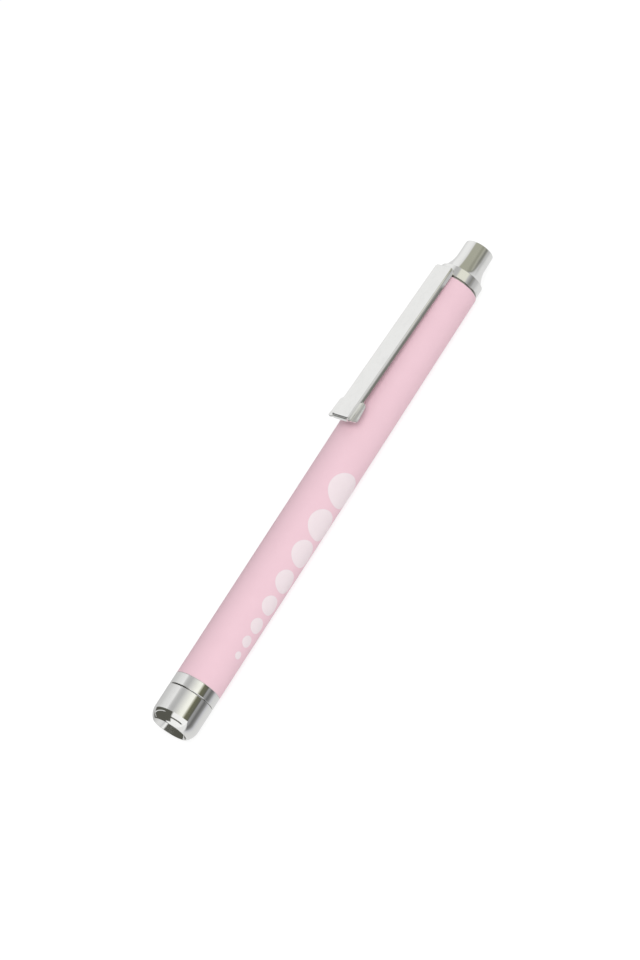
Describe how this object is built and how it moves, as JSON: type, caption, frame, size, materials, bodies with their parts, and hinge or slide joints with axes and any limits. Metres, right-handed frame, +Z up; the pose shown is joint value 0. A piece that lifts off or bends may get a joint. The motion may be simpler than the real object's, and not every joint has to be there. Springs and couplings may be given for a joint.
{
  "type": "penlight",
  "caption": "Slim pocket penlight with a screw-off polished nose around its lamp, a satin barrel with printed gauge dots, a spring clip and a push button at the tail.",
  "frame": {"origin": "middle of the pen's length and width, on the surface that it lies on", "axes": "+X along the pen from the lamp to the button, +Z straight up through the clip, -Y towards the gauge dots"},
  "size_m": [0.1438, 0.012, 0.0158],
  "materials": {
    "chrome_plate": "polished",
    "pink_paint": "satin",
    "lamp_epoxy": "gloss",
    "tinned_wire": "satin",
    "white_plastic": "satin",
    "cream_plastic": "satin",
    "dark_plastic": "satin",
    "contact_brass": "satin",
    "cell_can": "satin",
    "cell_sleeve": "gloss",
    "spring_wire": "satin"
  },
  "bodies": {
    "barrel": {"barrel": "pink_paint", "head_collar": "chrome_plate", "tail_collar": "chrome_plate", "clip_ring": "chrome_plate", "battery_spring": "spring_wire", "spring_contact": "contact_brass", "side_contact": "contact_brass", "switch_base": "cream_plastic", "switch_case": "cream_plastic", "return_spring": "spring_wire"},
    "lamp_stack": {"led_lamp": "lamp_epoxy", "led_leads": "tinned_wire", "led_holder": "white_plastic", "front_contact": "contact_brass", "front_cell": "cell_can", "front_cell_sleeve": "cell_sleeve", "rear_cell": "cell_can", "rear_cell_sleeve": "cell_sleeve"},
    "head": {"nose_cap": "chrome_plate"},
    "button": {"push_button": "chrome_plate", "plunger": "white_plastic"},
    "rotor": {"ratchet_rotor": "dark_plastic", "contact_bridge": "contact_brass"},
    "clip": {"clip_blade": "chrome_plate"}
  },
  "joints": [
    {"name": "head_travel", "type": "slide", "parent": "barrel", "child": "lamp_stack", "axis": [-1, 0, 0], "range_m": [0, 0.00337], "deforming": ["battery_spring"]},
    {"name": "head_unscrew", "type": "hinge", "parent": "lamp_stack", "child": "head", "pos_m": [-0.06689, 0, 0.006], "axis": [-1, 0, 0], "range_deg": [0, 1620]},
    {"name": "button_press", "type": "slide", "parent": "barrel", "child": "button", "axis": [-1, 0, 0], "range_m": [0, 0.0018], "stiffness_N_per_m": 800, "springref_m": -0.0015, "deforming": ["return_spring"]},
    {"name": "rotor_turn", "type": "hinge", "parent": "button", "child": "rotor", "pos_m": [0.05211, 0, 0.006], "axis": [1, 0, 0], "range_deg": [0, 45]},
    {"name": "clip_flex", "type": "hinge", "parent": "barrel", "child": "clip", "pos_m": [0.05979, 0, 0.0131], "axis": [0, 1, 0], "range_deg": [0, 4], "stiffness_Nm_per_rad": 3}
  ],
  "couplings": [
    {"joint": "head_unscrew", "follows": "head_travel", "rad_per_m": 8377.6},
    {"joint": "rotor_turn", "follows": "button_press", "rad_per_m": 436.33}
  ]
}
